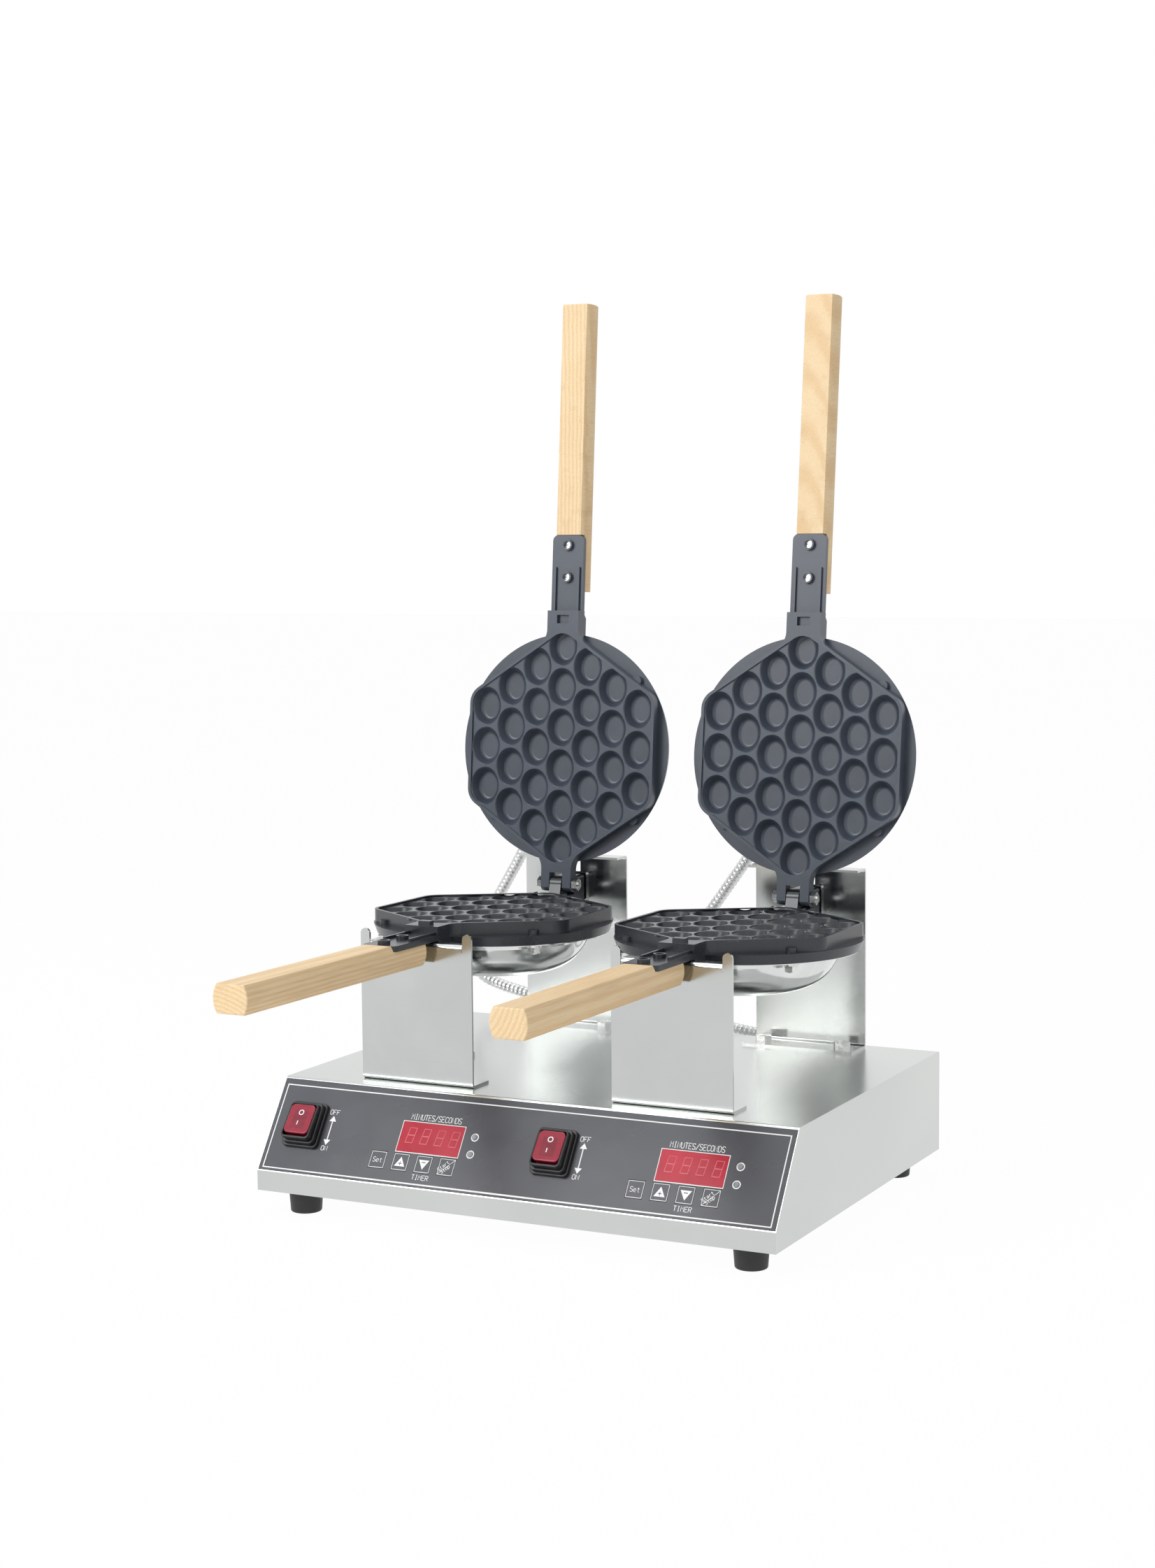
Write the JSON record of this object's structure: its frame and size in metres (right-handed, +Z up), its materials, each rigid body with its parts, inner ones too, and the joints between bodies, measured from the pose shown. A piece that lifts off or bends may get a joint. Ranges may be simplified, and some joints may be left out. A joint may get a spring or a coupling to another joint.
{
  "type": "double-head egg waffle maker",
  "caption": "Countertop waffle maker with hinged round moulds of oval cells, wooden grips, steel stand, timers and rocker switches.",
  "frame": {"origin": "middle of the outer box of the machine without its lid conduits, at floor level under the feet", "axes": "+Z up, +X to the right seen from the front, +Y towards the back; the control panel faces -Y"},
  "size_m": [0.4685, 0.6014, 0.7441],
  "materials": {
    "stainless_sheet": "brushed",
    "galvanised_sheet": "matte",
    "bracket_steel": "polished",
    "dome_steel": "polished",
    "cast_coated": "non-stick coated, satin",
    "grip_wood": "smooth, unvarnished",
    "zinc_steel": "bright zinc",
    "heater_steel": "dull",
    "conduit_steel": "galvanised",
    "gland_steel": "plated",
    "gland_nylon": "matte",
    "foot_rubber": "matte",
    "boot_rubber": "satin",
    "panel_film": "satin film",
    "key_film": "satin film",
    "display_red": "translucent gloss",
    "lamp_clear": "translucent",
    "rocker_red": "translucent gloss",
    "switch_nylon": "matte",
    "board_green": "matte",
    "terminal_nylon": "matte"
  },
  "bodies": {
    "base": {"base_glands": "gland_steel", "base_wrap": "stainless_sheet", "bottom_tray": "galvanised_sheet", "bracket_bolts": "zinc_steel", "control_overlay": "panel_film", "display_windows": "display_red", "foot_screws": "zinc_steel", "front_bracket_left": "bracket_steel", "front_bracket_right": "bracket_steel", "hinge_bolts": "zinc_steel", "indicator_lamps": "lamp_clear", "lid_conduit_left": "conduit_steel", "lid_conduit_right": "conduit_steel", "lower_conduits": "conduit_steel", "lower_dome_left": "dome_steel", "lower_dome_right": "dome_steel", "lower_glands": "gland_steel", "lower_grip_left": "grip_wood", "lower_grip_right": "grip_wood", "lower_grip_screws": "zinc_steel", "lower_heaters": "heater_steel", "lower_mould_left": "cast_coated", "lower_mould_right": "cast_coated", "lower_nuts": "zinc_steel", "pivot_plates": "bracket_steel", "pivot_shafts": "zinc_steel", "power_gland": "gland_nylon", "rear_bracket_left": "bracket_steel", "rear_bracket_right": "bracket_steel", "rubber_feet": "foot_rubber", "side_panel_left": "stainless_sheet", "side_panel_right": "stainless_sheet", "switch_bodies": "switch_nylon", "switch_boots": "boot_rubber", "terminal_block": "terminal_nylon", "timer_boards": "board_green"},
    "lid_left": {"upper_mould_left": "cast_coated", "upper_dome_left": "dome_steel", "upper_heater_left": "heater_steel", "upper_grip_left": "grip_wood", "upper_nuts_left": "zinc_steel", "upper_grip_screws_left": "zinc_steel", "upper_gland_left": "gland_steel"},
    "rocker_left": {"rocker_left": "rocker_red"},
    "key_set_left": {"key_set_left": "key_film"},
    "key_up_left": {"key_up_left": "key_film"},
    "key_down_left": {"key_down_left": "key_film"},
    "key_start_left": {"key_start_left": "key_film"},
    "lid_right": {"upper_mould_right": "cast_coated", "upper_dome_right": "dome_steel", "upper_heater_right": "heater_steel", "upper_grip_right": "grip_wood", "upper_nuts_right": "zinc_steel", "upper_grip_screws_right": "zinc_steel", "upper_gland_right": "gland_steel"},
    "rocker_right": {"rocker_right": "rocker_red"},
    "key_set_right": {"key_set_right": "key_film"},
    "key_up_right": {"key_up_right": "key_film"},
    "key_down_right": {"key_down_right": "key_film"},
    "key_start_right": {"key_start_right": "key_film"}
  },
  "joints": [
    {"name": "lid_left_hinge", "type": "hinge", "parent": "base", "child": "lid_left", "pos_m": [-0.1125, 0.21685, 0.235], "axis": [1, 0, 0], "range_deg": [0, 94.25], "deforming": ["lid_conduit_left"]},
    {"name": "lid_right_hinge", "type": "hinge", "parent": "base", "child": "lid_right", "pos_m": [0.1125, 0.21685, 0.235], "axis": [1, 0, 0], "range_deg": [0, 95.75], "deforming": ["lid_conduit_right"]},
    {"name": "rocker_left_pivot", "type": "hinge", "parent": "base", "child": "rocker_left", "pos_m": [-0.1921, -0.07708, 0.07163], "axis": [1, 0, 0], "range_deg": [0, 10]},
    {"name": "rocker_right_pivot", "type": "hinge", "parent": "base", "child": "rocker_right", "pos_m": [0.0329, -0.07708, 0.07163], "axis": [1, 0, 0], "range_deg": [0, 10]},
    {"name": "key_set_left_press", "type": "slide", "parent": "base", "child": "key_set_left", "axis": [0, 0.8266, -0.5628], "range_m": [0, 0.0004], "stiffness_N_per_m": 1500, "springref_m": -0.0003},
    {"name": "key_up_left_press", "type": "slide", "parent": "base", "child": "key_up_left", "axis": [0, 0.8266, -0.5628], "range_m": [0, 0.0004], "stiffness_N_per_m": 1500, "springref_m": -0.0003},
    {"name": "key_down_left_press", "type": "slide", "parent": "base", "child": "key_down_left", "axis": [0, 0.8266, -0.5628], "range_m": [0, 0.0004], "stiffness_N_per_m": 1500, "springref_m": -0.0003},
    {"name": "key_start_left_press", "type": "slide", "parent": "base", "child": "key_start_left", "axis": [0, 0.8266, -0.5628], "range_m": [0, 0.0004], "stiffness_N_per_m": 1500, "springref_m": -0.0003},
    {"name": "key_set_right_press", "type": "slide", "parent": "base", "child": "key_set_right", "axis": [0, 0.8266, -0.5628], "range_m": [0, 0.0004], "stiffness_N_per_m": 1500, "springref_m": -0.0003},
    {"name": "key_up_right_press", "type": "slide", "parent": "base", "child": "key_up_right", "axis": [0, 0.8266, -0.5628], "range_m": [0, 0.0004], "stiffness_N_per_m": 1500, "springref_m": -0.0003},
    {"name": "key_down_right_press", "type": "slide", "parent": "base", "child": "key_down_right", "axis": [0, 0.8266, -0.5628], "range_m": [0, 0.0004], "stiffness_N_per_m": 1500, "springref_m": -0.0003},
    {"name": "key_start_right_press", "type": "slide", "parent": "base", "child": "key_start_right", "axis": [0, 0.8266, -0.5628], "range_m": [0, 0.0004], "stiffness_N_per_m": 1500, "springref_m": -0.0003}
  ]
}
